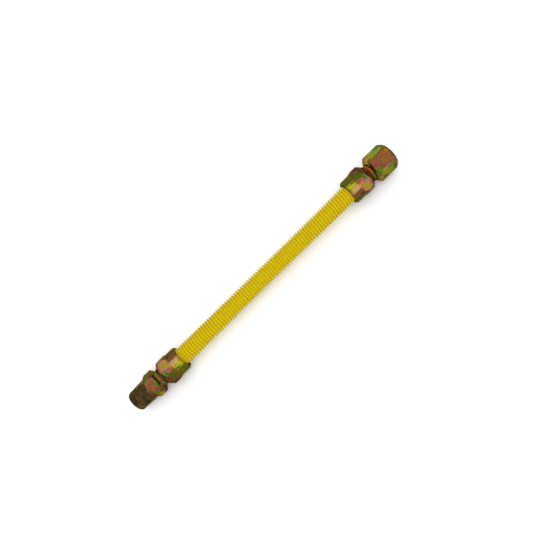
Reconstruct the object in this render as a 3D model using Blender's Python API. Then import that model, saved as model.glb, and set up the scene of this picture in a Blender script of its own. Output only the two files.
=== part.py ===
"""A helically corrugated metal hose that ends in two swivel flare nuts, each with its pipe adapter.

The hose lies on the floor as it comes to rest, along X, with the female end towards +X.
Each end is modelled in its own frame: the origin is at the mouth of the nut, on the axis,
and +X points away from the hose.
"""

import math
from collections import namedtuple

import bmesh
import bpy
from mathutils import Euler, Matrix, Vector, geometry

MM = 0.001

# Hose
HOSE_LENGTH = 225.8 * MM  # between the two nuts
PITCH = 3.0 * MM
CREST_DIAMETER = 19.2 * MM
ROOT_DIAMETER = 13.8 * MM
CUFF_DIAMETER = 14.0 * MM  # the plain tube behind each flare
TUBE_WALL = 0.5 * MM  # steel with its coating, measured radially
CORRUGATION_HAND = -1  # -1 for a left-hand helix, 1 for a right-hand one
CUFF_LENGTH = 1.5 * MM  # plain tube between the corrugation and the nut's inner shoulder
FADE_TURNS = 1.5  # turns over which the corrugation grows out of the cuff

# Flare joint
SEAT_GAP = 0.3 * MM
RUNNING_GAP = 0.3 * MM
FLARE_THREAD_DIAMETER = 19.05 * MM
FLARE_THREAD_ENGAGED = 12.6 * MM  # thread inside the nut when the joint is tight
THREAD_LEAD = 0.6 * MM
RELIEF_DIAMETER = 17.6 * MM
RELIEF_LENGTH = 2.4 * MM
CONE_BASE_DIAMETER = 17.0 * MM
CONE_TIP_DIAMETER = 12.2 * MM
FLARE_MOUTH_DIAMETER = 16.8 * MM
GAS_BORE = 10.4 * MM
NECK_LENGTH = 5.2 * MM  # bare stud between the nut and the adapter's hexagon

# Nut
NUT_LENGTH = 24.8 * MM
NUT_ACROSS_FLATS = 26.6 * MM
NUT_HEX_LENGTH = 13.0 * MM
NUT_FACE_DIAMETER = 22.6 * MM
NUT_MOUTH_CHAMFER = 0.7 * MM
COLLAR_DIAMETER = 25.8 * MM
COLLAR_ROUNDING = 1.8 * MM
TAIL_DEPTH = 6.7 * MM  # how far the hose reaches into the collar
TAIL_CLEARANCE = 0.4 * MM  # around the crests

# Male adapter
MALE_ACROSS_FLATS = 23.2 * MM
MALE_HEX_LENGTH = 12.7 * MM
MALE_HEX_BACK_DIAMETER = 18.4 * MM
PIPE_THREAD_LENGTH = 20.6 * MM
PIPE_THREAD_DIAMETER = 22.4 * MM  # over the crests, at the hexagon
PIPE_THREAD_DEPTH = 1.3 * MM
PIPE_PITCH = 25.4 / 14 * MM
PIPE_TAPER = 1 / 16  # on the diameter
PIPE_HAND = 1
RUN_OUT_TURNS = 1.5  # turns over which the groove grows shallow towards the hexagon
THREAD_LAND = 0.3 * MM  # plain stretch at each end of the thread
TIP_CHAMFER = 0.2 * MM  # below the thread's root
MALE_SHOULDER = 0.2 * MM  # the flat rim of the hexagon around the thread
MALE_BORE = 12.6 * MM
MALE_BORE_DEPTH = 25.0 * MM

# Female adapter
FEMALE_ACROSS_FLATS = 25.8 * MM
FEMALE_HEX_LENGTH = 25.2 * MM
FEMALE_HEX_BACK_DIAMETER = 20.2 * MM
FEMALE_FACE_DIAMETER = 23.8 * MM
SOCKET_MOUTH_DIAMETER = 21.4 * MM
SOCKET_DIAMETER = 18.8 * MM
SOCKET_DEPTH = 16.0 * MM

# Angles
BACK_CHAMFER_ANGLE = math.radians(58)  # from the axis, on the hexagons' nut side
DRILL_POINT_ANGLE = math.radians(118)
SEAT_ANGLE = math.radians(45)
MALE_NUT_CORNER = math.radians(0)  # a corner of the hexagon, from +Y about its end's own axis
FEMALE_NUT_CORNER = math.radians(50.3)
MALE_HEX_CORNER = math.radians(40.6)
FEMALE_HEX_CORNER = math.radians(27.8)

# Fineness
TURNED_SIDES = 24
HOSE_SIDES = 16
ROWS_PER_PITCH = 2  # a row along the root and a row along the crest
ROUNDING_STEPS = 3
SHARP_ANGLE = math.radians(35)
BAR_OVERHANG = 10 * MM
BLANK_MARGIN = 1.02  # the turned blank stands this much proud of the bar's corners
TINY = 1e-7
SIXTH = math.tau / 6

NUT_MOUTH = HOSE_LENGTH / 2 + NUT_LENGTH  # from the middle of the hose
CONE_BASE = FLARE_THREAD_ENGAGED + THREAD_LEAD  # behind the nut's mouth
MALE_HEX_END = NECK_LENGTH + MALE_HEX_LENGTH
MALE_TIP = MALE_HEX_END + PIPE_THREAD_LENGTH

# Rows of points along a helix about X: start is the first point of its first row
Helix = namedtuple("Helix", "sides hand pitch start turns")


def clear_scene():
    for old in list(bpy.data.objects):
        bpy.data.objects.remove(old, do_unlink=True)


def finish_material(name, colour, metallic, roughness):
    material = bpy.data.materials.new(name)
    material.use_nodes = True
    shader = material.node_tree.nodes["Principled BSDF"]
    shader.inputs["Base Color"].default_value = (*colour, 1)
    shader.inputs["Metallic"].default_value = metallic
    shader.inputs["Roughness"].default_value = roughness
    return material


def add_object(name, mesh, parent=None, roll=0.0, material=None):
    obj = bpy.data.objects.new(name, mesh)
    bpy.context.scene.collection.objects.link(obj)
    obj.parent = parent
    obj.rotation_euler = (roll, 0, 0)
    if material:
        mesh.materials.append(material)
    return obj


def mesh_from(bm, name):
    bmesh.ops.recalc_face_normals(bm, faces=bm.faces)
    mesh = bpy.data.meshes.new(name)
    bm.to_mesh(mesh)
    bm.free()
    mesh.shade_smooth()
    mesh.set_sharp_from_angle(angle=SHARP_ANGLE)
    return mesh


def corner_radius(across_flats):
    return across_flats / math.sqrt(3)


def seat_position(radius, offset):
    """Where the 45 degree seat, moved back by offset square to itself, has this radius."""
    along_axis = offset / math.sin(SEAT_ANGLE)
    return -CONE_BASE - along_axis - (CONE_BASE_DIAMETER / 2 - radius) / math.tan(SEAT_ANGLE)


def rounded_edge(x, radius, size):
    """Points of a quarter round from the side of a collar to its end face at x."""
    points = []
    for step in range(ROUNDING_STEPS + 1):
        angle = math.pi / 2 * step / ROUNDING_STEPS
        points.append((x + size - size * math.sin(angle), radius - size + size * math.cos(angle)))
    return points


def turned_mesh(name, outline):
    """A closed outline of (x, radius) points, turned about X."""
    bm = bmesh.new()
    corners = [bm.verts.new((x, radius, 0)) for x, radius in outline]
    edges = [bm.edges.new(pair) for pair in zip(corners, corners[1:] + corners[:1])]
    bmesh.ops.spin(
        bm, geom=corners + edges, cent=(0, 0, 0), axis=(1, 0, 0),
        angle=math.tau, steps=TURNED_SIDES, use_merge=True, use_duplicate=False,
    )
    bmesh.ops.remove_doubles(bm, verts=bm.verts, dist=TINY)
    return mesh_from(bm, name)


def around(helix, x, radius, side):
    angle = helix.hand * math.tau * side / helix.sides
    return Vector((x, radius * math.cos(angle), radius * math.sin(angle)))


def ring(bm, helix, x, radius):
    return [bm.verts.new(around(helix, x, radius, side)) for side in range(helix.sides)]


def join_rings(bm, first, second):
    for side, corner in enumerate(first):
        after = (side + 1) % len(first)
        bm.faces.new((corner, first[after], second[after], second[side]))


def helix_rows(bm, helix, radius_at):
    """Rows along the helix; each ends at the corner where the row one pitch on begins."""
    def corner(row, side):
        x = helix.start + (row / ROWS_PER_PITCH + side / helix.sides) * helix.pitch
        return bm.verts.new(around(helix, x, radius_at(x, row), side))

    last_row = helix.turns * ROWS_PER_PITCH
    rows = [[corner(row, side) for side in range(helix.sides)] for row in range(last_row + 1)]
    rows += [[corner(last_row + step + 1, 0)] for step in range(ROWS_PER_PITCH)]
    for row in range(last_row + 1):
        rows[row].append(rows[row + ROWS_PER_PITCH][0])
    return rows


def helix_skin(bm, helix, radius_at, start_ring, end_ring):
    """A surface along the helix between two plain rings. radius_at takes x and the row's number."""
    rows = helix_rows(bm, helix, radius_at)
    last_row = helix.turns * ROWS_PER_PITCH
    for lower, upper in zip(rows[:last_row], rows[1:last_row + 1]):
        for side in range(helix.sides):
            bm.faces.new((lower[side], lower[side + 1], upper[side + 1], upper[side]))

    first, last = rows[0], rows[last_row]
    end = end_ring + end_ring[:1]
    for side in range(helix.sides - 1):
        bm.faces.new((start_ring[side], start_ring[side + 1], first[side + 1], first[side]))
        bm.faces.new((last[side + 1], last[side + 2], end[side + 2], end[side + 1]))
    first_step = [rows[row][0] for row in range(ROWS_PER_PITCH + 1)]
    last_step = [rows[last_row + row][0] for row in range(ROWS_PER_PITCH + 1)]
    bm.faces.new((start_ring[-1], start_ring[0], *first_step, first[helix.sides - 1]))
    bm.faces.new((last[1], end_ring[1], end_ring[0], *reversed(last_step)))


def threaded_mesh(name, outline, helix, radius_at):
    """An outline of (x, radius) points turned about X, closed by a thread that runs from its last
    point to its first."""
    bm = bmesh.new()
    rings = [ring(bm, helix, x, radius) for x, radius in outline]
    for first, second in zip(rings, rings[1:]):
        join_rings(bm, first, second)
    helix_skin(bm, helix, radius_at, rings[-1], rings[0])
    bmesh.ops.triangulate(bm, faces=bm.faces)
    return mesh_from(bm, name)


def hexagon_bar(name, across_flats, start, end, parent, roll):
    """The bar stock that a fitting is turned from, as a cutter."""
    bm = bmesh.new()
    radius = corner_radius(across_flats)
    length = end - start + 2 * BAR_OVERHANG
    bmesh.ops.create_cone(
        bm, cap_ends=True, segments=6, radius1=radius, radius2=radius, depth=length,
    )
    bmesh.ops.rotate(bm, verts=bm.verts, matrix=Matrix.Rotation(math.pi / 2, 3, "Y"))
    bmesh.ops.translate(bm, vec=((start + end) / 2, 0, 0), verts=bm.verts)
    bar = add_object(name, mesh_from(bm, name), parent, roll)
    bar.hide_render = True
    bar.display_type = "WIRE"
    return bar


def cut_from_bar(blank, across_flats, parent, corner, material):
    """A fitting turned from a hexagon bar: the turned blank, cut to the bar."""
    name = blank.name
    positions = [vertex.co.x for vertex in blank.vertices]
    bar = hexagon_bar(name + "_bar", across_flats, min(positions), max(positions), parent, corner)
    fitting = add_object(name, blank, parent, corner, material)
    cut = fitting.modifiers.new("Hexagon", "BOOLEAN")
    cut.operation = "INTERSECT"
    cut.solver = "EXACT"
    cut.object = bar
    return fitting


def hexagon_outline(start, end, across_flats, back_diameter, front_diameter):
    """The turned blank over a hexagon, with both end chamfers run past its corners."""
    radius = corner_radius(across_flats) * BLANK_MARGIN
    back_run = (radius - back_diameter / 2) / math.tan(BACK_CHAMFER_ANGLE)
    front_run = radius - front_diameter / 2
    return [
        (start, back_diameter / 2), (start + back_run, radius),
        (end - front_run, radius), (end, front_diameter / 2),
    ]


def stud_outline():
    """The flare end of an adapter, from its bore to the foot of its hexagon."""
    tip = seat_position(CONE_TIP_DIAMETER / 2, 0)
    return [
        (tip, GAS_BORE / 2), (tip, CONE_TIP_DIAMETER / 2),
        (-CONE_BASE, CONE_BASE_DIAMETER / 2),
        (-FLARE_THREAD_ENGAGED, FLARE_THREAD_DIAMETER / 2),
        (NECK_LENGTH - RELIEF_LENGTH, FLARE_THREAD_DIAMETER / 2),
        (NECK_LENGTH - RELIEF_LENGTH, RELIEF_DIAMETER / 2),
        (NECK_LENGTH, RELIEF_DIAMETER / 2),
    ]


def male_hexagon():
    return hexagon_outline(
        NECK_LENGTH, MALE_HEX_END, MALE_ACROSS_FLATS, MALE_HEX_BACK_DIAMETER,
        PIPE_THREAD_DIAMETER + 2 * MALE_SHOULDER,
    )


def pipe_crest(x):
    return PIPE_THREAD_DIAMETER / 2 - (x - MALE_HEX_END) * PIPE_TAPER / 2


def pipe_thread_radius(x, row):
    """The tapered thread: shallow at the hexagon, and cut back by the chamfer at its tip."""
    groove = 0.5 + 0.5 * math.cos(math.tau * row / ROWS_PER_PITCH)
    shallow = min(1, max(0, (x - MALE_HEX_END) / (RUN_OUT_TURNS * PIPE_PITCH)))
    chamfer = pipe_crest(MALE_TIP) - PIPE_THREAD_DEPTH + MALE_TIP - TIP_CHAMFER - x
    return min(pipe_crest(x) - PIPE_THREAD_DEPTH * groove * shallow, chamfer)


def pipe_helix():
    turns = int((PIPE_THREAD_LENGTH - 2 * THREAD_LAND) / PIPE_PITCH) - 1
    start = MALE_TIP - THREAD_LAND - (turns + 1) * PIPE_PITCH
    return Helix(TURNED_SIDES, PIPE_HAND, PIPE_PITCH, start, turns)


def male_adapter(parent, material):
    tip_radius = pipe_crest(MALE_TIP) - PIPE_THREAD_DEPTH
    bore_end = MALE_TIP - MALE_BORE_DEPTH
    bore_point = (MALE_BORE - GAS_BORE) / 2 / math.tan(DRILL_POINT_ANGLE / 2)
    outline = [
        (MALE_TIP - TIP_CHAMFER, tip_radius), (MALE_TIP, tip_radius - TIP_CHAMFER),
        (MALE_TIP, MALE_BORE / 2), (bore_end, MALE_BORE / 2),
        (bore_end - bore_point, GAS_BORE / 2),
    ]
    outline += stud_outline()
    outline += male_hexagon()
    outline.append((MALE_HEX_END, PIPE_THREAD_DIAMETER / 2))
    blank = threaded_mesh("male_adapter", outline, pipe_helix(), pipe_thread_radius)
    return cut_from_bar(blank, MALE_ACROSS_FLATS, parent, MALE_HEX_CORNER, material)


def female_hexagon():
    return hexagon_outline(
        NECK_LENGTH, NECK_LENGTH + FEMALE_HEX_LENGTH, FEMALE_ACROSS_FLATS,
        FEMALE_HEX_BACK_DIAMETER, FEMALE_FACE_DIAMETER,
    )


def female_adapter(parent, material):
    face = NECK_LENGTH + FEMALE_HEX_LENGTH
    mouth_radius = SOCKET_MOUTH_DIAMETER / 2
    socket_radius = SOCKET_DIAMETER / 2
    bottom_radius = socket_radius - SOCKET_DEPTH * PIPE_TAPER / 2
    drill_point = (bottom_radius - GAS_BORE / 2) / math.tan(DRILL_POINT_ANGLE / 2)
    outline = stud_outline()
    outline += female_hexagon()
    outline += [
        (face, mouth_radius), (face - mouth_radius + socket_radius, socket_radius),
        (face - SOCKET_DEPTH, bottom_radius),
        (face - SOCKET_DEPTH - drill_point, GAS_BORE / 2),
    ]
    blank = turned_mesh("female_adapter", outline)
    return cut_from_bar(blank, FEMALE_ACROSS_FLATS, parent, FEMALE_HEX_CORNER, material)


def nut_hexagon():
    blank_radius = corner_radius(NUT_ACROSS_FLATS) * BLANK_MARGIN
    return [
        (0, NUT_FACE_DIAMETER / 2),
        (NUT_FACE_DIAMETER / 2 - blank_radius, blank_radius),
        (blank_radius - COLLAR_DIAMETER / 2 - NUT_HEX_LENGTH, blank_radius),
        (-NUT_HEX_LENGTH, COLLAR_DIAMETER / 2),
    ]


def flare_nut(name, parent, corner, material):
    """Hexagon with the flare thread, then a round collar that shrouds the first turns of hose."""
    bore_radius = FLARE_THREAD_DIAMETER / 2 + RUNNING_GAP
    hole_radius = CUFF_DIAMETER / 2 + RUNNING_GAP
    tail_radius = CREST_DIAMETER / 2 + TAIL_CLEARANCE
    behind_flare = 2 * SEAT_GAP + TUBE_WALL
    outline = nut_hexagon()
    outline += rounded_edge(-NUT_LENGTH, COLLAR_DIAMETER / 2, COLLAR_ROUNDING)
    outline += [
        (-NUT_LENGTH, tail_radius),
        (TAIL_DEPTH - NUT_LENGTH, tail_radius), (TAIL_DEPTH - NUT_LENGTH, hole_radius),
        (seat_position(hole_radius, behind_flare), hole_radius),
        (seat_position(bore_radius, behind_flare), bore_radius),
        (-NUT_MOUTH_CHAMFER, bore_radius), (0, bore_radius + NUT_MOUTH_CHAMFER),
    ]
    return cut_from_bar(turned_mesh(name, outline), NUT_ACROSS_FLATS, parent, corner, material)


def corrugation():
    """Whole turns that fit between the shoulders inside the two collars, about the middle."""
    room = HOSE_LENGTH + 2 * (TAIL_DEPTH - CUFF_LENGTH) - PITCH
    turns = int(room / PITCH)
    return Helix(HOSE_SIDES, CORRUGATION_HAND, PITCH, -(turns + 1) * PITCH / 2, turns)


def corrugated_radius(x, row):
    """The tube's outer radius at a row, growing out of the plain cuff at each end."""
    crest = CREST_DIAMETER / 2
    root = ROOT_DIAMETER / 2
    cuff = CUFF_DIAMETER / 2
    wave = (root + crest) / 2 - (crest - root) / 2 * math.cos(math.tau * row / ROWS_PER_PITCH)
    grown = min(1, max(0, (-corrugation().start - abs(x)) / (FADE_TURNS * PITCH)))
    return cuff + (wave - cuff) * grown * grown * (3 - 2 * grown)


def corrugated_inside(x, row):
    return corrugated_radius(x, row) - TUBE_WALL


def corrugated_tube(parent, material):
    """A thin wall, corrugated along a helix, with a plain cuff and a flare at each end."""
    bm = bmesh.new()
    helix = corrugation()
    flare_inside = FLARE_MOUTH_DIAMETER / 2
    flare_outside = flare_inside + TUBE_WALL * math.cos(SEAT_ANGLE)
    cuff_outside = CUFF_DIAMETER / 2
    cuff_inside = cuff_outside - TUBE_WALL
    cuff_end = -helix.start + RUNNING_GAP
    outer = [
        (NUT_MOUTH + seat_position(flare_outside, SEAT_GAP + TUBE_WALL), flare_outside),
        (NUT_MOUTH + seat_position(cuff_outside, SEAT_GAP + TUBE_WALL), cuff_outside),
        (cuff_end, cuff_outside),
    ]
    inner = [
        (NUT_MOUTH + seat_position(flare_inside, SEAT_GAP), flare_inside),
        (NUT_MOUTH + seat_position(cuff_inside, SEAT_GAP), cuff_inside), (cuff_end, cuff_inside),
    ]
    mouths = []
    for plain, radius_at in ((outer, corrugated_radius), (inner, corrugated_inside)):
        left = [ring(bm, helix, -x, radius) for x, radius in plain]
        right = [ring(bm, helix, x, radius) for x, radius in plain]
        for rings in (left, right):
            for first, second in zip(rings, rings[1:]):
                join_rings(bm, first, second)
        helix_skin(bm, helix, radius_at, left[-1], right[-1])
        mouths.append((left[0], right[0]))
    for outside, inside in zip(*mouths):
        join_rings(bm, outside, inside)
    bmesh.ops.triangulate(bm, faces=bm.faces)
    return add_object("corrugated_tube", mesh_from(bm, "corrugated_tube"), parent, 0, material)


def hexagon_ends(outline, across_flats, corner, outward):
    """Where a hexagon's six sides meet its two chamfers, in the hose's own frame."""
    (start, start_radius), (rise, blank_radius), (fall, _), (end, end_radius) = outline
    turn = Matrix.Diagonal((1, 1, 1)) if outward > 0 else Matrix.Rotation(math.pi, 3, "Z")
    points = []
    for side in range(TURNED_SIDES):
        angle = math.tau * side / TURNED_SIDES
        radius = across_flats / 2 / math.cos(angle % SIXTH - SIXTH / 2)
        risen = max(0, radius - start_radius) / (blank_radius - start_radius)
        fallen = max(0, radius - end_radius) / (blank_radius - end_radius)
        y = radius * math.cos(angle + corner)
        z = radius * math.sin(angle + corner)
        for x in (start + (rise - start) * risen, end + (fall - end) * fallen):
            points.append(turn @ Vector((NUT_MOUTH + x, y, z)))
    return points


def resting_points():
    points = hexagon_ends(male_hexagon(), MALE_ACROSS_FLATS, MALE_HEX_CORNER, -1)
    points += hexagon_ends(female_hexagon(), FEMALE_ACROSS_FLATS, FEMALE_HEX_CORNER, 1)
    points += hexagon_ends(nut_hexagon(), NUT_ACROSS_FLATS, MALE_NUT_CORNER, -1)
    points += hexagon_ends(nut_hexagon(), NUT_ACROSS_FLATS, FEMALE_NUT_CORNER, 1)
    return points


def resting_plane():
    """The floor in the hose's own frame: a side of the convex hull, straight below the middle of
    the hose. Of all the ways to rest, the one that turns the hose least is taken."""
    hull = bmesh.new()
    for point in resting_points():
        hull.verts.new(point)
    bmesh.ops.convex_hull(hull, input=hull.verts)
    middle = Vector((0, 0, 0))
    rests = []
    for face in hull.faces:
        a, b, c = [vertex.co.copy() for vertex in face.verts]
        normal = (b - a).cross(c - a).normalized()
        normal *= math.copysign(1, -a.dot(normal))
        if geometry.intersect_ray_tri(a, b, c, -normal, middle, True):
            rests.append((normal.z, a, normal))
    hull.free()
    _, touching, normal = max(rests, key=lambda rest: rest[0])
    return touching, normal


def add_empty(name, parent=None):
    empty = add_object(name, None, parent)
    empty.empty_display_size = 20 * MM
    return empty


def place_hose_axis():
    """The parent of everything, tipped and raised so that the lowest points touch the floor."""
    touching, normal = resting_plane()
    axis = add_empty("hose_axis")
    axis.rotation_mode = "QUATERNION"
    axis.rotation_quaternion = normal.rotation_difference(Vector((0, 0, 1)))
    turned = axis.rotation_quaternion.to_matrix()
    male_reach = NUT_MOUTH + MALE_TIP
    female_reach = NUT_MOUTH + NECK_LENGTH + FEMALE_HEX_LENGTH
    between_ends = turned @ Vector(((male_reach - female_reach) / 2, 0, 0))
    axis.location = (between_ends.x, between_ends.y, -(turned @ touching).z)
    return axis


def build():
    clear_scene()
    coating = finish_material("yellow_coating", (0.75, 0.56, 0.012), 0, 0.4)
    plating = {
        name: finish_material(name + "_plating", colour, 0.9, 0.35)
        for name, colour in (
            ("male_nut", (0.27, 0.22, 0.06)), ("female_nut", (0.27, 0.22, 0.06)),
            ("male_adapter", (0.24, 0.16, 0.05)), ("female_adapter", (0.30, 0.20, 0.05)),
        )
    }
    axis = place_hose_axis()
    female_end = add_empty("female_end", axis)
    female_end.location.x = NUT_MOUTH
    male_end = add_empty("male_end", axis)
    male_end.location.x = -NUT_MOUTH
    male_end.rotation_euler = Euler((0, 0, math.pi))

    corrugated_tube(axis, coating)
    flare_nut("male_end_nut", male_end, MALE_NUT_CORNER, plating["male_nut"])
    flare_nut("female_end_nut", female_end, FEMALE_NUT_CORNER, plating["female_nut"])
    male_adapter(male_end, plating["male_adapter"])
    female_adapter(female_end, plating["female_adapter"])


build()
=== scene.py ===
import math

import bmesh
import bpy
from mathutils import Matrix, Vector


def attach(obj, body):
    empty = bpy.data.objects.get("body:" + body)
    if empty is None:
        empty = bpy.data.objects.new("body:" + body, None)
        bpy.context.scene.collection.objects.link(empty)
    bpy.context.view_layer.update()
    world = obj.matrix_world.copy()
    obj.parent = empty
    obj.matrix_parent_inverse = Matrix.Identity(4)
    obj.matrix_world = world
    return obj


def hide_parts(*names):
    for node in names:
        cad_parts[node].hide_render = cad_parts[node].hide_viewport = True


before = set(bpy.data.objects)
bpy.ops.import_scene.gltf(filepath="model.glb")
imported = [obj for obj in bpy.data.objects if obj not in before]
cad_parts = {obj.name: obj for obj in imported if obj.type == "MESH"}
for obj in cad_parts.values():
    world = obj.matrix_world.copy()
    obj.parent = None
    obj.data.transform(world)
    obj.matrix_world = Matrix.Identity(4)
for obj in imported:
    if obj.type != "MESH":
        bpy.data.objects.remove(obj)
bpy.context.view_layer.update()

MM = 0.001

# The hose's own frame at rest: the origin is its middle, X points to the female end
HOSE_FRAME = Matrix((
    (0.9999842, 0.00000208, -0.00562581, 0.00404994),
    (0.00000208, 0.9999997, 0.00074069, 0.00000001),
    (0.00562581, -0.00074069, 0.99998391, 0.01406321),
    (0, 0, 0, 1),
))
NUT_MOUTH = 137.7 * MM
FEMALE_END = HOSE_FRAME @ Matrix.Translation((NUT_MOUTH, 0, 0))
MALE_END = HOSE_FRAME @ Matrix.Translation((-NUT_MOUTH, 0, 0)) @ Matrix.Rotation(math.pi, 4, "Z")

# Hose
PITCH = 3.0 * MM
CREST_RADIUS = 9.6 * MM
ROOT_RADIUS = 6.9 * MM
CUFF_RADIUS = 7.0 * MM
TUBE_WALL = 0.5 * MM
FADE_LENGTH = 4.5 * MM
CORRUGATED_HALF = 117.0 * MM
CUFF_END = 117.3 * MM
CREST_OFFSET = 1.5 * MM
CREST_FULLNESS = 0.75  # below 1 the crests are broader than the roots
HOSE_SIDES = 64
OUTSIDE_ROWS = 10
INSIDE_ROWS = 4

# Flare joint, each end in its own frame: the origin is the nut's mouth, X points away from the hose
FLARE_PITCH = 25.4 / 16 * MM
FLARE_RADIUS = 9.525 * MM
FLARE_DEPTH = 0.97 * MM
CONE_BASE = -13.2 * MM
CONE_BASE_RADIUS = 8.5 * MM
CONE_TIP_RADIUS = 6.1 * MM
FLARE_MOUTH_RADIUS = 8.4 * MM
SEAT_GAP = 0.3 * MM
GAS_BORE_RADIUS = 5.2 * MM
GAS_BORE_ROW = 3 * MM  # a row of points in the bore, this far from the cone's tip
THREAD_END_SLOPE = 1.7  # of the flare thread's lead-in and run-out
NECK_LENGTH = 5.2 * MM
RELIEF_START = 2.8 * MM
RELIEF_RADIUS = 8.8 * MM

# Nut
NUT_FLAT = 13.3 * MM  # from the axis to a flat
NUT_HEX_LENGTH = 13.0 * MM
NUT_LENGTH = 24.8 * MM
NUT_FACE_RADIUS = 11.3 * MM
NUT_BORE_RADIUS = 9.825 * MM
NUT_HOLE_RADIUS = 7.3 * MM
COLLAR_RADIUS = 12.9 * MM
COLLAR_ROUNDING = 1.8 * MM
COLLAR_END_RADIUS = COLLAR_RADIUS - 0.586 * COLLAR_ROUNDING
TAIL_RADIUS = 10.0 * MM
TAIL_DEPTH = 6.7 * MM
MOUTH_CHAMFER = 0.7 * MM

# Adapters
BACK_CHAMFER = math.tan(math.radians(58))  # how steep the hexagons' back chamfers are
PIPE_PITCH = 25.4 / 14 * MM
PIPE_DEPTH = 1.3 * MM
PIPE_RUN_OUT = 1.5 * PIPE_PITCH
TAPER = 1 / 32  # on the radius
MALE_FLAT = 11.6 * MM
MALE_HEX_END = 17.9 * MM
MALE_TIP = 38.5 * MM
MALE_BACK_RADIUS = 9.2 * MM
MALE_THREAD_RADIUS = 11.2 * MM
PIPE_CREST_OFFSET = 19.15 * MM
TIP_CHAMFER = 0.2 * MM  # below the thread's root
MALE_FACE_RADIUS = MALE_THREAD_RADIUS + 0.2 * MM
MALE_TIP_ROW = 8.0 * MM  # a row of points on the end face, at this radius
MALE_BORE_RADIUS = 6.3 * MM
MALE_BORE_DEPTH = 25.0 * MM
FEMALE_FLAT = 12.9 * MM
FEMALE_HEX_END = 30.4 * MM
FEMALE_BACK_RADIUS = 10.1 * MM
FEMALE_FACE_RADIUS = 11.9 * MM
SOCKET_MOUTH_RADIUS = 10.7 * MM
SOCKET_RADIUS = 9.4 * MM
SOCKET_DEPTH = 16.0 * MM
SOCKET_THREAD_DEPTH = PIPE_DEPTH * 0.8
SOCKET_PLAIN_END = 0.5 * MM
SOCKET_FADE_SLOPE = 0.5
COUNTERSINK_DEPTH = 0.4 * MM
COUNTERSINK_SLOPE = 0.9
FEMALE_EDGE = 0.35 * MM
DRILL_POINT = math.tan(math.radians(59))

# A corner of each hexagon, from +Y about its end's own axis
MALE_NUT_CORNER = math.radians(0)
FEMALE_NUT_CORNER = math.radians(50.3)
MALE_HEX_CORNER = math.radians(40.6)
FEMALE_HEX_CORNER = math.radians(27.8)

# The side of each end that shows at rest, about the end's own axis
MALE_FACING = math.radians(66)
FEMALE_FACING = math.radians(114)
UNROLLED_RADIUS = 13 * MM

CORNER_ROUNDING = 0.5 * MM
FLAT_STEPS = 8
ROUND_STEPS = 4
FLAT_ANGLE = math.radians(32)  # edges sharper than this stay sharp
BACK_ROW = 0.8 * MM  # a row of points on the hexagon's back face, this far inside its edge
FRONT_ROW = 0.1 * MM
COLLAR_HEX_ROW = 1 * MM  # rows of points on the collar, this far from its two ends
COLLAR_TAIL_ROW = 3 * MM

# Edge roundings
SHARP_EDGE = 0.1 * MM
STEP_EDGE = 0.15 * MM
FINE_EDGE = 0.2 * MM
RIM_EDGE = 0.25 * MM
EDGE = 0.3 * MM
SOFT_EDGE = 0.4 * MM
TAIL_EDGE = 0.6 * MM
COLLAR_EDGE = 0.9 * MM

# Materials
# The coating's yellow by depth, with painted light: painted highlights on the roots and crests, painted
# shade on the flanks
LIT_ROOT_YELLOW = (0.74, 0.60, 0.004)
SHADED_FLANK_YELLOW = (0.44, 0.32, 0.003)
LIT_CREST_YELLOW = (0.58, 0.475, 0.003)
CLOUD_YELLOW = (0.60, 0.36, 0.005)
FILM_STRENGTH = 0.64
EDGE_TINT = (0.45, 0.45, 0.28, 1)
PLATING_METAL = 0.92
COATING_SHINE = 0.08
WANDER = 1.6  # how far the patches' edges wander, in millimetres
WANDER_FINENESS = 0.45  # for each millimetre
PATCH_EDGE = (0.7, 1.25)  # where a patch begins and ends to fade, as a share of its size

# Studio
WORLD_LIGHT = 1.18
KEY_POWER = 2.6
KEY_PLACE = (0.0, -0.38, 0.85)
KEY_SIZE = (1.1, 0.9)
FLOOR_SIZE = 6
FLOOR_LEVEL = -0.2 * MM
FLOOR_WHITE = 0.9
FLOOR_ROUGHNESS = 0.9

# Camera
CAMERA_DISTANCE = 481 * MM
CAMERA_ELEVATION = math.radians(66)
CAMERA_ALONG = 6.8 * MM
CAMERA_ACROSS = 6.4 * MM
CAMERA_TURN = math.radians(44.46)
FIELD_OF_VIEW = math.radians(58.1)
SENSOR_WIDTH = 36

# The height of a thread's profile against its place along one pitch, from crest to crest
THREAD_PROFILE = (
    (0.0, 1.0), (0.06, 1.0), (0.10, 0.93), (0.33, 0.10), (0.38, 0.0),
    (0.62, 0.0), (0.67, 0.10), (0.90, 0.93), (0.94, 1.0),
)


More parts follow.
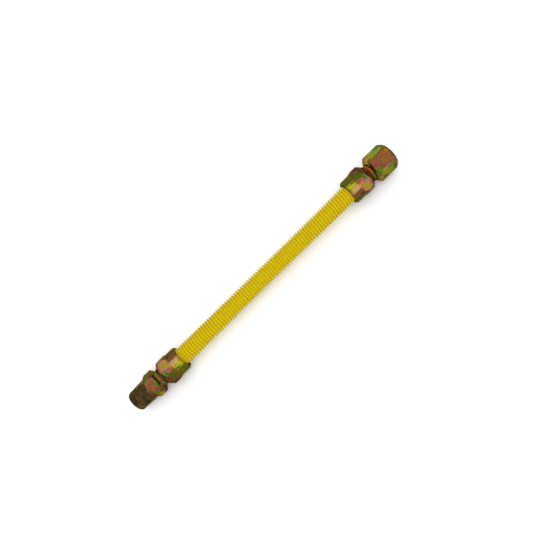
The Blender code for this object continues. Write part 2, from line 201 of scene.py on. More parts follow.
class Skin:
    """A closed surface round the X axis, built as rows of points along it."""

    def __init__(self, angles):
        self.angles = angles
        self.count = len(angles)
        self.points = []
        self.known = {}
        self.faces = []
        self.first = None
        self.last = None

    def corner(self, column, x, radius):
        """The vertex at this place; points that coincide are one vertex."""
        column %= self.count
        key = (column, round(x * 1e8), round(radius * 1e8))
        if key not in self.known:
            angle = self.angles[column]
            self.known[key] = len(self.points)
            self.points.append((x, radius * math.cos(angle), radius * math.sin(angle)))
        return self.known[key]

    def strip(self, row):
        """Joins a row, which repeats its first column at its end, to the row before."""
        if self.last is None:
            self.first = row
        else:
            for column in range(self.count):
                quad = (
                    self.last[column], self.last[column + 1], row[column + 1], row[column],
                )
                distinct = list(dict.fromkeys(quad))
                if len(distinct) > 2:
                    self.faces.append(distinct)
        self.last = row

    def outline(self, profile):
        """Adds the rows of an outline: profile(angle) gives the same number of (x, radius) points."""
        columns = [profile(angle) for angle in self.angles]
        for step in range(len(columns[0])):
            row = [self.corner(column, *points[step]) for column, points in enumerate(columns)]
            self.strip(row + row[:1])

    def helix(self, start, end, pitch, profile, radius_at, offset=0.0):
        """Adds rows along a helix from start to end. radius_at(x, height) gives the radius
        where the profile has that height."""
        backwards = end < start
        low, high = min(start, end), max(start, end)
        hand = 1 if self.angles[1] > self.angles[0] else -1
        shares = [hand * angle / math.tau for angle in self.angles]
        first_turn = math.floor((low - offset) / pitch) - 2
        last_turn = math.ceil((high - offset) / pitch) + 1
        steps = [(turn, phase) for turn in range(first_turn, last_turn) for phase, _ in profile]
        if backwards:
            steps.reverse()
        for turn, phase in steps:
            row = []
            for column in range(self.count + 1):
                whole = turn + column // self.count
                wrapped = column % self.count
                x = offset + (whole + phase + shares[wrapped]) * pitch
                x = min(high, max(low, x))
                height = profile_height(profile, (x - offset) / pitch - shares[wrapped])
                row.append(self.corner(wrapped, x, radius_at(x, height)))
            self.strip(row)

    def close(self):
        self.strip(self.first)

    def mesh(self, name):
        bm = bmesh.new()
        corners = [bm.verts.new(point) for point in self.points]
        for face in self.faces:
            bm.faces.new([corners[index] for index in face])
        bmesh.ops.recalc_face_normals(bm, faces=bm.faces)
        mesh = bpy.data.meshes.new(name)
        bm.to_mesh(mesh)
        bm.free()
        mesh.shade_smooth()
        return mesh


def profile_height(profile, turns):
    """The profile's height at this place, between its points."""
    phase_here = turns % 1.0
    before = profile[-1][0] - 1, profile[-1][1]
    for phase, height in profile + ((1.0 + profile[0][0], profile[0][1]),):
        if phase_here <= phase:
            span = phase - before[0]
            share = (phase_here - before[0]) / span if span else 0
            return before[1] + (height - before[1]) * share
        before = phase, height
    return profile[0][1]


def half_flat(flat):
    """The angle from the middle of a hexagon's side to the start of its rounded corner."""
    return math.atan((flat - CORNER_ROUNDING) * math.tan(math.pi / 6) / flat)


def hexagon_angles(flat):
    """Angles round a hexagon with a corner at 0, closest at the rounded corners."""
    middle = half_flat(flat)
    corner = math.pi / 6 - middle
    sector = [0, corner / 2]
    for step in range(FLAT_STEPS + 1):
        sector.append(corner + 2 * middle * step / FLAT_STEPS)
    sector.append(math.pi / 3 - corner / 2)
    return [sixth * math.pi / 3 + angle for sixth in range(6) for angle in sector]


def hexagon_radius(flat, angle):
    """From the axis to the side of a hexagon with a rounded corner at angle 0."""
    from_corner = abs((angle + math.pi / 6) % (math.pi / 3) - math.pi / 6)
    centre = (flat - CORNER_ROUNDING) / math.cos(math.pi / 6)
    if from_corner > math.pi / 6 - half_flat(flat):
        return flat / math.cos(math.pi / 6 - from_corner)
    across = centre * math.sin(from_corner)
    return centre * math.cos(from_corner) + math.sqrt(CORNER_ROUNDING ** 2 - across ** 2)


def rounded(points):
    """An outline of (x, radius, rounding) points with its corners rounded."""
    result = []
    for index, (x, radius, size) in enumerate(points):
        here = Vector((x, radius))
        if not size or index in (0, len(points) - 1):
            result.append((x, radius))
            continue
        before = Vector(points[index - 1][:2]) - here
        after = Vector(points[index + 1][:2]) - here
        size = min(size, before.length * 0.45, after.length * 0.45)
        start = here + before.normalized() * size
        end = here + after.normalized() * size
        for step in range(ROUND_STEPS + 1):
            share = step / ROUND_STEPS
            point = start.lerp(here, share).lerp(here.lerp(end, share), share)
            result.append((point.x, point.y))
    return result


def add_piece(name, mesh, matrix, body, slot, material, *nodes):
    """Puts a piece in its place, in the stead of the nodes that it stands for."""
    piece = bpy.data.objects.new(name, mesh)
    bpy.context.scene.collection.objects.link(piece)
    piece.matrix_world = matrix
    mesh.materials.append(material)
    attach(piece, body)
    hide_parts(*nodes)
    return piece


def smooth_flats(piece):
    """Keeps flat faces flat beside their rounded edges."""
    piece.data.set_sharp_from_angle(angle=FLAT_ANGLE)
    weigh = piece.modifiers.new("Flats", "WEIGHTED_NORMAL")
    weigh.keep_sharp = True
    weigh.weight = 100


# Hose

def corrugation():
    """One pitch of the hose's wall, from crest to crest."""
    points = []
    for step in range(OUTSIDE_ROWS):
        phase = step / OUTSIDE_ROWS
        wave = 0.5 + 0.5 * math.cos(math.tau * phase)
        points.append((phase, wave ** CREST_FULLNESS))
    return tuple(points)


def hose_radius(inset):
    def radius_at(x, height):
        wave = ROOT_RADIUS + (CREST_RADIUS - ROOT_RADIUS) * height
        grown = min(1, max(0, (CORRUGATED_HALF - abs(x)) / FADE_LENGTH))
        return CUFF_RADIUS + (wave - CUFF_RADIUS) * grown * grown * (3 - 2 * grown) - inset
    return radius_at


def seat(radius, offset):
    """Where the flare joint's 45 degree seat, moved back square to itself, has this radius."""
    return CONE_BASE - offset * math.sqrt(2) - (CONE_BASE_RADIUS - radius)


def hose_mesh():
    skin = Skin([-math.tau * step / HOSE_SIDES for step in range(HOSE_SIDES)])
    mouth = FLARE_MOUTH_RADIUS
    lip = mouth + TUBE_WALL * math.sqrt(0.5)
    inside = CUFF_RADIUS - TUBE_WALL
    inner = [
        (NUT_MOUTH + seat(mouth, SEAT_GAP), mouth, 0),
        (NUT_MOUTH + seat(inside, SEAT_GAP), inside, SOFT_EDGE), (CUFF_END, inside, 0),
    ]
    outer = [
        (NUT_MOUTH + seat(lip, SEAT_GAP + TUBE_WALL), lip, 0),
        (NUT_MOUTH + seat(CUFF_RADIUS, SEAT_GAP + TUBE_WALL), CUFF_RADIUS, SOFT_EDGE),
        (CUFF_END, CUFF_RADIUS, 0),
    ]
    coarse = corrugation()[::OUTSIDE_ROWS // INSIDE_ROWS]
    skin.outline(lambda angle: [(-x, radius) for x, radius in rounded(outer)])
    skin.helix(-CUFF_END, CUFF_END, PITCH, corrugation(), hose_radius(0), CREST_OFFSET)
    skin.outline(lambda angle: rounded(outer)[::-1])
    skin.outline(lambda angle: rounded(inner))
    skin.helix(CUFF_END, -CUFF_END, PITCH, coarse, hose_radius(TUBE_WALL), CREST_OFFSET)
    skin.outline(lambda angle: [(-x, radius) for x, radius in rounded(inner)[::-1]])
    skin.close()
    return skin.mesh("hose")


# Fittings

def hexagon_rows(skin, flat, start, end, back_radius, front_radius, rounding):
    """The sides of a hexagon with a turned chamfer at each end."""
    def profile(angle):
        radius = hexagon_radius(flat, angle)
        return rounded([
            (start, back_radius - BACK_ROW, 0),
            (start, back_radius, rounding),
            (start + (radius - back_radius) / BACK_CHAMFER, radius, rounding),
            (end - (radius - front_radius), radius, rounding),
            (end, front_radius, rounding), (end, front_radius - FRONT_ROW, 0),
        ])
    skin.outline(profile)


def stud_rows(skin):
    """The flare end of an adapter: bore, cone, thread and relief groove."""
    tip = seat(CONE_TIP_RADIUS, 0)
    skin.outline(lambda angle: rounded([
        (tip + GAS_BORE_ROW, GAS_BORE_RADIUS, 0), (tip, GAS_BORE_RADIUS, FINE_EDGE),
        (tip, CONE_TIP_RADIUS, FINE_EDGE), (CONE_BASE, CONE_BASE_RADIUS, 0),
    ]))

    def radius_at(x, height):
        ridge = FLARE_RADIUS - FLARE_DEPTH * (1 - height)
        lead_in = CONE_BASE_RADIUS + (x - CONE_BASE) * THREAD_END_SLOPE
        run_out = RELIEF_RADIUS + (RELIEF_START - x) * THREAD_END_SLOPE
        return min(ridge, max(lead_in, CONE_BASE_RADIUS), max(run_out, RELIEF_RADIUS))

    skin.helix(CONE_BASE, RELIEF_START, FLARE_PITCH, THREAD_PROFILE, radius_at)
    skin.outline(lambda angle: rounded([
        (RELIEF_START, RELIEF_RADIUS, 0), (NECK_LENGTH, RELIEF_RADIUS, EDGE),
        (NECK_LENGTH, RELIEF_RADIUS + EDGE, 0),
    ]))


def male_adapter_mesh():
    skin = Skin(hexagon_angles(MALE_FLAT))
    stud_rows(skin)
    hexagon_rows(
        skin, MALE_FLAT, NECK_LENGTH, MALE_HEX_END, MALE_BACK_RADIUS, MALE_FACE_RADIUS, EDGE,
    )
    tip_root = MALE_THREAD_RADIUS - (MALE_TIP - MALE_HEX_END) * TAPER - PIPE_DEPTH

    def radius_at(x, height):
        crest = MALE_THREAD_RADIUS - (x - MALE_HEX_END) * TAPER
        shallow = min(1, max(0.0, (x - MALE_HEX_END) / PIPE_RUN_OUT))
        ridge = crest - PIPE_DEPTH * shallow * (1 - height)
        return min(ridge, tip_root + MALE_TIP - TIP_CHAMFER - x)

    skin.helix(MALE_HEX_END, MALE_TIP, PIPE_PITCH, THREAD_PROFILE, radius_at, PIPE_CREST_OFFSET)
    bore_end = MALE_TIP - MALE_BORE_DEPTH
    point = (MALE_BORE_RADIUS - GAS_BORE_RADIUS) / DRILL_POINT
    skin.outline(lambda angle: rounded([
        (MALE_TIP, MALE_TIP_ROW, 0), (MALE_TIP, MALE_BORE_RADIUS, SOFT_EDGE),
        (bore_end, MALE_BORE_RADIUS, 0), (bore_end - point, GAS_BORE_RADIUS, 0),
    ]))
    skin.close()
    return skin.mesh("male_fitting")


def female_adapter_mesh():
    skin = Skin(hexagon_angles(FEMALE_FLAT))
    stud_rows(skin)
    hexagon_rows(
        skin, FEMALE_FLAT, NECK_LENGTH, FEMALE_HEX_END, FEMALE_BACK_RADIUS, FEMALE_FACE_RADIUS,
        FEMALE_EDGE,
    )
    countersink = FEMALE_HEX_END - COUNTERSINK_DEPTH
    skin.outline(lambda angle: rounded([
        (FEMALE_HEX_END, SOCKET_MOUTH_RADIUS + EDGE, 0),
        (FEMALE_HEX_END, SOCKET_MOUTH_RADIUS, SHARP_EDGE),
        (countersink, SOCKET_MOUTH_RADIUS - EDGE, 0),
    ]))
    bottom = FEMALE_HEX_END - SOCKET_DEPTH

    def radius_at(x, height):
        inner = SOCKET_RADIUS - (FEMALE_HEX_END - x) * TAPER
        groove = inner + SOCKET_THREAD_DEPTH * (1 - height)
        countersunk = SOCKET_MOUTH_RADIUS - (FEMALE_HEX_END - x) * COUNTERSINK_SLOPE
        fading = inner + max(0, x - bottom - SOCKET_PLAIN_END) * SOCKET_FADE_SLOPE
        return max(min(groove, fading), countersunk)

    skin.helix(countersink, bottom, PIPE_PITCH, THREAD_PROFILE, radius_at)
    bottom_radius = SOCKET_RADIUS - SOCKET_DEPTH * TAPER
    point = (bottom_radius - GAS_BORE_RADIUS) / DRILL_POINT
    skin.outline(lambda angle: [(bottom, bottom_radius), (bottom - point, GAS_BORE_RADIUS)])
    skin.close()
    return skin.mesh("female_fitting")


def nut_mesh(name):
    skin = Skin(hexagon_angles(NUT_FLAT))
    back = -NUT_HEX_LENGTH

    def hexagon(angle):
        radius = hexagon_radius(NUT_FLAT, angle)
        return rounded([
            (0, NUT_BORE_RADIUS + MOUTH_CHAMFER + FINE_EDGE, 0),
            (0, NUT_FACE_RADIUS, EDGE),
            (NUT_FACE_RADIUS - radius, radius, EDGE),
            (back + radius - COLLAR_RADIUS, radius, RIM_EDGE),
            (back, COLLAR_RADIUS, STEP_EDGE),
            (back - COLLAR_HEX_ROW, COLLAR_RADIUS, 0),
        ])
    skin.outline(hexagon)
    skin.outline(lambda angle: rounded([
        (-NUT_LENGTH + COLLAR_TAIL_ROW, COLLAR_RADIUS, 0),
        (-NUT_LENGTH + COLLAR_ROUNDING, COLLAR_RADIUS, COLLAR_EDGE),
        (-NUT_LENGTH, COLLAR_END_RADIUS, TAIL_EDGE),
        (-NUT_LENGTH, TAIL_RADIUS, RIM_EDGE),
        (TAIL_DEPTH - NUT_LENGTH, TAIL_RADIUS, FINE_EDGE),
        (TAIL_DEPTH - NUT_LENGTH, NUT_HOLE_RADIUS, FINE_EDGE),
        (seat(NUT_HOLE_RADIUS, 2 * SEAT_GAP + TUBE_WALL), NUT_HOLE_RADIUS, 0),
        (seat(NUT_BORE_RADIUS, 2 * SEAT_GAP + TUBE_WALL), NUT_BORE_RADIUS, 0),
        (-MOUTH_CHAMFER, NUT_BORE_RADIUS, 0), (0, NUT_BORE_RADIUS + MOUTH_CHAMFER, 0),
    ]))
    skin.close()
    return skin.mesh(name)


# Materials

class Paint:
    """A material's nodes, made one by one."""

    def __init__(self, name, metallic):
        self.material = bpy.data.materials.new(name)
        self.material.use_nodes = True
        self.tree = self.material.node_tree
        self.shader = self.tree.nodes["Principled BSDF"]
        self.shader.inputs["Metallic"].default_value = metallic
        self.position = self.node("ShaderNodeTexCoord").outputs["Object"]

    def node(self, kind, **settings):
        made = self.tree.nodes.new(kind)
        for key, value in settings.items():
            setattr(made, key, value)
        return made

    def feed(self, socket, value):
        if isinstance(value, bpy.types.NodeSocket):
            self.tree.links.new(value, socket)
        else:
            socket.default_value = value

    def compute(self, operation, first, second=0.0):
        made = self.node("ShaderNodeMath", operation=operation)
        self.feed(made.inputs[0], first)
        self.feed(made.inputs[1], second)
        return made.outputs[0]

    def noise(self, along, across, detail, warp=0.0, seed=0.0):
        """A cloud from 0 to 1, with its fineness for each millimetre along the axis and across."""
        scaled = self.node("ShaderNodeMapping")
        scaled.inputs["Scale"].default_value = (along / MM, across / MM, across / MM)
        self.feed(scaled.inputs["Vector"], self.position)
        made = self.node("ShaderNodeTexNoise", noise_dimensions="4D")
        self.feed(made.inputs["Vector"], scaled.outputs[0])
        made.inputs["W"].default_value = seed
        made.inputs["Scale"].default_value = 1.0
        made.inputs["Detail"].default_value = detail
        made.inputs["Distortion"].default_value = warp
        return made.outputs["Fac"]

    def ramp(self, share, stops):
        made = self.node("ShaderNodeValToRGB")
        elements = made.color_ramp.elements
        while len(elements) < len(stops):
            elements.new(1.0)
        for element, (position, colour) in zip(elements, stops):
            element.position = position
            element.color = (*colour, 1)
        self.feed(made.inputs[0], share)
        return made.outputs[0]

    def mix(self, share, first, second, mode="MIX"):
        made = self.node("ShaderNodeMix", data_type="RGBA", blend_type=mode)
        self.feed(made.inputs[0], share)
        for socket, value in ((made.inputs[6], first), (made.inputs[7], second)):
            self.feed(socket, (*value, 1) if isinstance(value, tuple) else value)
        return made.outputs[2]

    def between(self, value, low, high):
        """0 below low, 1 above high, smooth between."""
        made = self.node("ShaderNodeMapRange", interpolation_type="SMOOTHSTEP")
        self.feed(made.inputs[0], value)
        made.inputs[1].default_value = low
        made.inputs[2].default_value = high
        return made.outputs[0]

    def radius(self):
        """The distance from the axis."""
        parts = self.node("ShaderNodeSeparateXYZ")
        self.feed(parts.inputs[0], self.position)
        squares = [self.compute("POWER", parts.outputs[axis], 2) for axis in (1, 2)]
        return self.compute("SQRT", self.compute("ADD", *squares))

    def unrolled(self, facing):
        """The position on the unrolled surface in millimetres, counted from the angle facing.
        It wanders a little, so that no patch has an even edge."""
        turned = self.node("ShaderNodeMapping")
        turned.inputs["Rotation"].default_value = (-facing, 0, 0)
        self.feed(turned.inputs["Vector"], self.position)
        parts = self.node("ShaderNodeSeparateXYZ")
        self.feed(parts.inputs[0], turned.outputs[0])
        joined = self.node("ShaderNodeCombineXYZ")
        self.feed(joined.inputs[0], self.compute("DIVIDE", parts.outputs[0], MM))
        angle = self.compute("ARCTAN2", parts.outputs[2], parts.outputs[1])
        self.feed(joined.inputs[1], self.compute("MULTIPLY", angle, UNROLLED_RADIUS / MM))
        cloud = self.node("ShaderNodeTexNoise")
        cloud.inputs["Scale"].default_value = WANDER_FINENESS / MM
        self.feed(cloud.inputs["Vector"], self.position)
        shift = self.node("ShaderNodeVectorMath", operation="MULTIPLY_ADD")
        self.feed(shift.inputs[0], cloud.outputs["Color"])
        shift.inputs[1].default_value = (WANDER, WANDER, 0)
        self.feed(shift.inputs[2], joined.outputs[0])
        return shift.outputs[0]

    def patch(self, under, where, x, turn, length, breadth, tilt, colour):
        """A soft oval of colour, the film's own in most patches and painted light in some: its middle,
        half its length in millimetres and half its breadth in degrees."""
        oval = self.node("ShaderNodeMapping", vector_type="TEXTURE")
        arc = UNROLLED_RADIUS / MM * math.radians(1)
        oval.inputs["Location"].default_value = (x, turn * arc, 0)
        oval.inputs["Rotation"].default_value = (0, 0, math.radians(tilt))
        oval.inputs["Scale"].default_value = (length, breadth * arc, 1)
        self.feed(oval.inputs["Vector"], where)
        distance = self.node("ShaderNodeVectorMath", operation="LENGTH")
        self.feed(distance.inputs[0], oval.outputs[0])
        share = self.compute("SUBTRACT", 1.0, self.between(distance.outputs["Value"], *PATCH_EDGE))
        return self.mix(share, under, colour)

    def along(self):
        """The place along the axis."""
        parts = self.node("ShaderNodeSeparateXYZ")
        self.feed(parts.inputs[0], self.position)
        return parts.outputs[0]

    def bump(self, height, distance, strength):
        made = self.node("ShaderNodeBump")
        made.inputs["Strength"].default_value = strength
        made.inputs["Distance"].default_value = distance
        self.feed(made.inputs["Height"], height)
        self.feed(self.shader.inputs["Normal"], made.outputs[0])

    def rough(self, grain, spread, least):
        """Roughness that rises with the grain."""
        roughness = self.compute("ADD", self.compute("MULTIPLY", grain, spread), least)
        self.feed(self.shader.inputs["Roughness"], roughness)

    def colour(self, value):
        self.feed(self.shader.inputs["Base Color"], value)
        return self.material


def coating():
    """A yellow coating with light and shade painted in by the depth of the corrugation: painted
    highlights on its roots and crests, painted shade on its flanks, and warmer clouds.
    """
    paint = Paint("yellow_coating", 0.0)
    height = paint.between(paint.radius(), ROOT_RADIUS, CREST_RADIUS)
    # painted highlights on the roots and crests, painted shade on the flanks
    yellow = paint.ramp(height, ((0.0, LIT_ROOT_YELLOW), (0.5, SHADED_FLANK_YELLOW), (0.95, LIT_CREST_YELLOW)))
    clouds = paint.between(paint.noise(0.12, 0.25, 3.0, 0.5), 0.35, 0.8)
    yellow = paint.mix(paint.compute("MULTIPLY", clouds, 0.5), yellow, CLOUD_YELLOW)
    grain = paint.noise(0.9, 1.2, 3.0, 0.0, 4.0)
    paint.bump(grain, 0.12 * MM, 0.5)
    paint.rough(grain, 0.16, 0.30)
    paint.shader.inputs["Specular IOR Level"].default_value = COATING_SHINE
    return paint.colour(yellow)


def film(red, green, blue):
    """A film colour from the red, green and blue levels that it has on a screen."""
    return tuple(FILM_STRENGTH * (level / 255) ** 2.2 for level in (red, green, blue))


OLIVE = film(112, 114, 38)
FERN = film(144, 164, 78)
MUSTARD = film(166, 164, 44)
DARK_OLIVE = film(100, 102, 34)
MOSS = film(90, 106, 22)
EMERALD = film(64, 118, 24)
LIME = film(178, 190, 38)
SAGE = film(108, 134, 68)
TEAL = film(74, 112, 98)
GOLD = film(170, 152, 32)
BRASS = film(182, 152, 58)
OCHRE = film(152, 112, 34)
PEACH = film(194, 150, 98)
SALMON = film(202, 138, 100)
ROSE = film(192, 96, 112)
WINE = film(138, 62, 70)
PLUM = film(110, 70, 78)
MAROON = film(104, 54, 50)
RUST = film(132, 80, 58)
SIENNA = film(138, 88, 44)
UMBER = film(102, 90, 36)
SCARLET = film(160, 50, 40)
# GLINT is a painted highlight, not a film colour
GLINT = film(255, 214, 150)
THREAD_DARK = film(72, 56, 24)
THREAD_PALE = film(204, 172, 116)

# The film of the plating by its thickness
FILM_COLOURS = (
    (0.26, MOSS), (0.38, OLIVE), (0.46, OCHRE), (0.54, RUST), (0.60, WINE), (0.66, OLIVE), (0.76, SAGE),
)

# Speckles on the plating: fineness, strength, and the tints of the dark and the light ones
SPECKLES = (
    (0.55, 0.6, (0.60, 0.86, 0.50), (1.40, 1.10, 1.25)),
    (1.6, 0.8, (0.50, 0.48, 0.44), (1.65, 1.70, 1.60)),
)

# Patches of film and of painted light: x in millimetres, angle in degrees from the side that shows at
# rest, half length in millimetres, half breadth in degrees, tilt in degrees and colour. Most patches are
# the film's own colours; the patches marked in each table are painted highlights and painted shade.
NUT_FILM_AND_PAINTED_LIGHT = (
    # On the collar (x from -13 to -25): a painted highlight band of LIME, GOLD, SALMON and PEACH round
    # the side that shows at rest, painted shade of OLIVE and DARK_OLIVE towards its sides, and a painted
    # highlight line of SALMON along its rounded end at -24.5
    (-18.7, -78, 7.5, 18, 0, OLIVE), (-18.7, -46, 8.0, 17, 0, DARK_OLIVE),
    (-18.7, -25, 7.0, 9, 0, MOSS), (-21.2, -20, 3.0, 4, 0, LIME), (-16.7, -23, 3.0, 5, 0, OCHRE),
    (-19.7, -9, 5.5, 5, 0, LIME), (-15.0, -7, 1.8, 5, 0, GOLD), (-19.7, 3, 5.5, 6, 0, GOLD),
    (-16.2, 4, 2.0, 6, 0, SALMON), (-18.7, 17, 6.5, 11, 0, PEACH), (-18.7, 32, 7.0, 7, 0, RUST),
    (-18.7, 54, 7.5, 13, 0, UMBER), (-15.4, 50, 2.0, 9, 0, MAROON), (-19.2, 80, 7.5, 17, 0, OLIVE),
    (-24.5, -10, 0.6, 30, 0, SALMON), (-13.2, -14, 0.9, 19, 0, DARK_OLIVE),
    # On the hexagon: the flats turned to the side that shows at rest are brighter and those turned away
    # darker, partly the film's own colours and partly painted light and shade
    (-7.2, -38, 6.0, 30, 0, UMBER), (-7.7, -16, 5.0, 9, 0, MOSS), (-5.7, -57, 4.0, 8, 0, MAROON),
    (-3.2, -32, 1.3, 24, 0, MAROON), (-7.4, 26, 5.6, 30, 0, SALMON), (-9.8, 22, 2.3, 17, 0, BRASS),
    (-7.2, 38, 4.2, 12, 0, BRASS), (-8.2, 28, 3.6, 9, 38, BRASS), (-11.2, 44, 1.4, 7, 0, SALMON),
    (-8.4, 6, 4.4, 6, 36, ROSE), (-4.8, 4, 2.2, 13, 0, SAGE), (-6.0, -2, 1.6, 5, 0, EMERALD),
    (-2.8, 34, 0.9, 14, 0, ROSE),
)
MALE_FILM_AND_GLINTS = (
    (1.4, -10, 1.1, 80, 0, SAGE), (2.4, -35, 0.7, 40, 0, UMBER), (3.8, -38, 0.7, 14, 0, TEAL),
    (4.3, -8, 0.8, 18, 0, PLUM), (2.7, 12, 0.7, 8, 0, SCARLET), (3.0, 26, 0.8, 10, 0, OCHRE),
    (3.6, 42, 1.0, 10, 0, SAGE), (4.2, 62, 1.0, 12, 0, TEAL), (1.8, 60, 1.0, 20, 0, DARK_OLIVE),
    (13.3, -58, 4.0, 28, 0, OLIVE), (13.6, -68, 3.0, 12, 0, GOLD), (8.0, -66, 2.0, 22, 0, PLUM),
    (10.4, -46, 1.6, 18, 20, WINE), (14.4, -42, 2.4, 5, 0, SAGE), (13.3, -30, 4.0, 4, 0, OLIVE),
    (11.8, 5, 6.2, 29, 0, RUST), (13.3, 0, 2.4, 9, 0, SIENNA), (10.8, -20, 1.6, 8, 0, WINE),
    (10.1, -2, 0.8, 14, -25, WINE), (16.6, -4, 0.8, 22, 0, WINE), (8.3, -5, 2.0, 19, -12, EMERALD),
    (13.6, 56, 3.0, 26, 0, OLIVE), (8.8, 48, 2.4, 15, 0, PLUM),
    (10.8, 82, 5.5, 12, 0, OLIVE), (17.0, 28, 1.0, 6, 0, OCHRE), (16.6, 42, 1.0, 10, 0, TEAL),
    (17.8, -6, 0.9, 16, 0, DARK_OLIVE), (17.7, -42, 1.0, 16, 0, MAROON),
    # GLINT at -28 degrees and SALMON at 36 degrees on the back chamfer are painted highlights
    (6.6, -28, 0.7, 10, 0, GLINT), (6.2, 36, 0.5, 10, 0, SALMON), (5.6, 50, 0.5, 12, 0, GOLD),
)
FEMALE_FILM_AND_GLINTS = (
    (1.4, -40, 1.0, 30, 0, OCHRE), (1.4, 0, 1.0, 22, 0, UMBER), (3.6, -5, 1.2, 24, 0, SCARLET),
    (3.2, -50, 1.4, 20, 0, OCHRE), (3.8, 28, 0.9, 10, 0, RUST), (2.3, 50, 1.6, 20, 0, UMBER),
    (5.4, -15, 0.6, 28, 0, OCHRE), (5.4, 32, 0.6, 16, 0, EMERALD), (5.0, 62, 0.8, 16, 0, DARK_OLIVE),
    (17.8, -58, 12.0, 30, 0, FERN), (12.8, -50, 5.5, 16, 0, MUSTARD), (15.8, -82, 12.0, 9, 0, MUSTARD),
    (9.8, -80, 3.2, 10, 0, ROSE), (7.6, -68, 1.2, 14, 0, ROSE), (9.8, -58, 2.2, 8, 0, MUSTARD),
    (14.3, -38, 3.4, 7, 0, GOLD), (24.8, -70, 4.0, 12, 0, SAGE), (28.4, -54, 1.0, 16, 0, OLIVE),
    (21.8, -31, 6.0, 4, 0, RUST), (10.4, -38, 2.0, 6, 0, RUST),
    (18.8, 3, 11.5, 29, 0, RUST), (23.3, -6, 6.5, 22, 0, SIENNA), (10.8, -16, 2.8, 8, 0, RUST),
    (14.2, -26, 2.2, 3, 0, WINE), (9.8, 0, 2.6, 9, 30, WINE), (14.4, 20, 3.6, 6, 42, WINE),
    (20.3, 31, 7.5, 3, 0, WINE), (11.2, 22, 2.6, 11, 0, MOSS), (8.5, 20, 1.0, 13, 0, EMERALD),
    (27.6, 26, 1.6, 5, 0, RUST), (27.6, -14, 1.2, 8, 0, OCHRE),
    (17.3, 66, 11.5, 31, 0, FERN), (22.3, 43, 5.0, 7, 0, SAGE), (12.8, 80, 4.0, 9, 0, RUST),
    (16.8, 60, 6.0, 12, 60, MUSTARD), (26.6, 70, 2.0, 18, 0, DARK_OLIVE), (8.8, 82, 2.0, 9, 0, SALMON),
    # the two GLINT patches on the back chamfer are painted highlights
    (29.7, 0, 0.6, 34, 0, MAROON), (7.0, -34, 0.6, 11, 0, GLINT), (7.2, 33, 0.5, 12, 0, GLINT),
)


def plating(name, patches, facing, seed):
    """Yellow zinc plating, whose thin film shows a different colour wherever its thickness changes, with
    the painted highlights and painted shade of its patches laid over.
    """
    paint = Paint(name, PLATING_METAL)
    paint.shader.inputs["Specular Tint"].default_value = EDGE_TINT
    cloud = paint.noise(0.09, 0.09, 2.0, 1.4, seed)
    streaks = paint.compute("SUBTRACT", paint.noise(0.9, 0.08, 2.0, 0.0, seed + 3), 0.5)
    thickness = paint.compute("ADD", cloud, paint.compute("MULTIPLY", streaks, 0.14))
    colours = paint.ramp(thickness, FILM_COLOURS)
    where = paint.unrolled(facing)
    for spot in patches:
        colours = paint.patch(colours, where, *spot)
    fine = paint.noise(1.6, 0.5, 3.0, 0.0, seed + 7)
    blotches = paint.compute("MULTIPLY", paint.between(fine, 0.45, 0.8), 0.30)
    colours = paint.mix(blotches, colours, paint.mix(0.5, colours, UMBER))
    for fineness, strength, dark, light in SPECKLES:
        speckle = paint.noise(fineness, fineness, 3.0, 0.3, seed + fineness)
        tint = paint.ramp(speckle, ((0.30, dark), (0.50, (1.0, 1.0, 1.0)), (0.70, light)))
        colours = paint.mix(strength, colours, tint, "MULTIPLY")
    paint.bump(paint.noise(2.5, 0.6, 2.0, 0.0, seed + 9), 0.05 * MM, 0.35)
    paint.rough(fine, 0.2, 0.20)
    return paint, colours


def plated(name, patches, facing, seed):
    paint, colours = plating(name, patches, facing, seed)
    return paint.colour(colours)


def male_plating():
    """The pipe thread is darker, with lighter patches along its crests."""
    paint, colours = plating("male_fitting_plating", MALE_FILM_AND_GLINTS, MALE_FACING, 41.0)
    taper = paint.compute("MULTIPLY", paint.compute("SUBTRACT", paint.along(), MALE_HEX_END), TAPER)
    depth = paint.compute("SUBTRACT", MALE_THREAD_RADIUS, paint.compute("ADD", paint.radius(), taper))
    # the crests, found by their depth, are made lighter in noise-shaped patches
    crest = paint.compute("SUBTRACT", 1.0, paint.between(depth, 0.15 * MM, 0.70 * MM))
    begun = paint.between(paint.along(), MALE_HEX_END - 1 * MM, MALE_HEX_END + 3 * MM)
    crest_patches = paint.between(paint.noise(0.5, 0.25, 2.0, 0.0, 47.0), 0.3, 0.6)
    blotches = paint.compute("MULTIPLY", crest, paint.compute("MULTIPLY", crest_patches, begun))
    thread = paint.mix(blotches, THREAD_DARK, THREAD_PALE)
    on_thread = paint.between(paint.along(), MALE_HEX_END, MALE_HEX_END + 0.6 * MM)
    return paint.colour(paint.mix(on_thread, colours, thread))


# Studio

def key_light():
    light = bpy.data.lights.new("key", "AREA")
    light.shape = "RECTANGLE"
    light.size, light.size_y = KEY_SIZE
    light.energy = KEY_POWER
    lamp = bpy.data.objects.new("key", light)
    bpy.context.scene.collection.objects.link(lamp)
    lamp.location = KEY_PLACE
    lamp.rotation_mode = "QUATERNION"
    lamp.rotation_quaternion = (-Vector(KEY_PLACE)).to_track_quat("-Z", "Y")


def studio():
    scene = bpy.context.scene
    scene.view_settings.view_transform = "Standard"
    world = bpy.data.worlds.new("studio")
    world.use_nodes = True
    background = world.node_tree.nodes["Background"]
    background.inputs[0].default_value = (1, 1, 1, 1)
    background.inputs[1].default_value = WORLD_LIGHT
    scene.world = world
    bpy.ops.mesh.primitive_plane_add(size=FLOOR_SIZE, location=(0, 0, FLOOR_LEVEL))
    floor = bpy.context.object
    floor.name = "floor"
    material = bpy.data.materials.new("floor")
    material.use_nodes = True
    shader = material.node_tree.nodes["Principled BSDF"]
    shader.inputs["Base Color"].default_value = (FLOOR_WHITE, FLOOR_WHITE, FLOOR_WHITE, 1)
    shader.inputs["Roughness"].default_value = FLOOR_ROUGHNESS
    floor.data.materials.append(material)
    key_light()


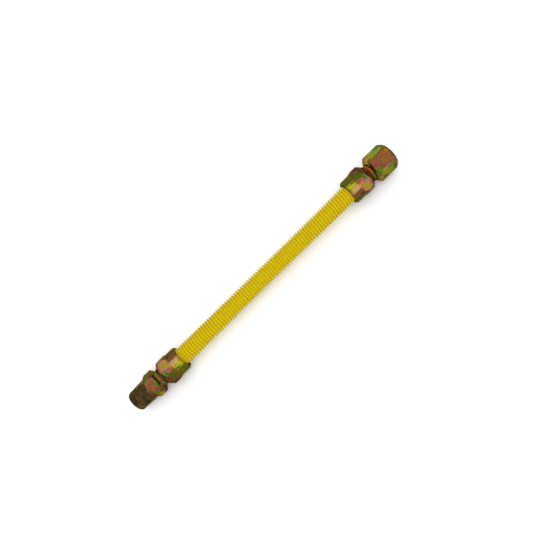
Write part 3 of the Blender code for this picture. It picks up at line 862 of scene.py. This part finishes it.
def camera():
    """Looks down on the hose as in the photo, with the female end at the upper right."""
    back = Vector((0, -math.cos(CAMERA_ELEVATION), math.sin(CAMERA_ELEVATION)))
    along = Vector((1, 0, 0))
    across = back.cross(along) * -1
    right = along * math.cos(CAMERA_TURN) + across * math.sin(CAMERA_TURN)
    up = along * math.sin(CAMERA_TURN) - across * math.cos(CAMERA_TURN)
    target = along * CAMERA_ALONG + across * CAMERA_ACROSS
    local = Matrix((right, up, back)).transposed().to_4x4()
    local.translation = target + back * CAMERA_DISTANCE
    data = bpy.data.cameras.new("camera")
    data.sensor_width = SENSOR_WIDTH
    data.lens = SENSOR_WIDTH / 2 / math.tan(FIELD_OF_VIEW / 2)
    data.clip_start = 0.01
    made = bpy.data.objects.new("camera", data)
    bpy.context.scene.collection.objects.link(made)
    made.matrix_world = HOSE_FRAME @ local
    bpy.context.scene.camera = made


def fitting(name, mesh, end, corner, body, slot, material, node):
    mesh.transform(Matrix.Rotation(corner, 4, "X"))
    piece = add_piece(name, mesh, end, body, slot, material, node)
    smooth_flats(piece)
    return piece


camera()
studio()
hose = add_piece("hose", hose_mesh(), HOSE_FRAME, "hose", "yellow_coating", coating(), "corrugated_tube")
fitting(
    "male_nut", nut_mesh("male_nut"), MALE_END, MALE_NUT_CORNER, "male_nut", "nut_plating",
    plated("male_nut_plating", NUT_FILM_AND_PAINTED_LIGHT, MALE_FACING, 1.0), "male_end_nut",
)
female_nut = fitting(
    "female_nut", nut_mesh("female_nut"), FEMALE_END, FEMALE_NUT_CORNER, "female_nut",
    "nut_plating", plated("female_nut_plating", NUT_FILM_AND_PAINTED_LIGHT, FEMALE_FACING, 21.0), "female_end_nut",
)
fitting(
    "male_fitting", male_adapter_mesh(), MALE_END, MALE_HEX_CORNER, "male_fitting",
    "adapter_plating", male_plating(), "male_adapter",
)
female_fitting = fitting(
    "female_fitting", female_adapter_mesh(), FEMALE_END, FEMALE_HEX_CORNER, "female_fitting",
    "adapter_plating", plated("female_fitting_plating", FEMALE_FILM_AND_GLINTS, FEMALE_FACING, 61.0),
    "female_adapter",
)
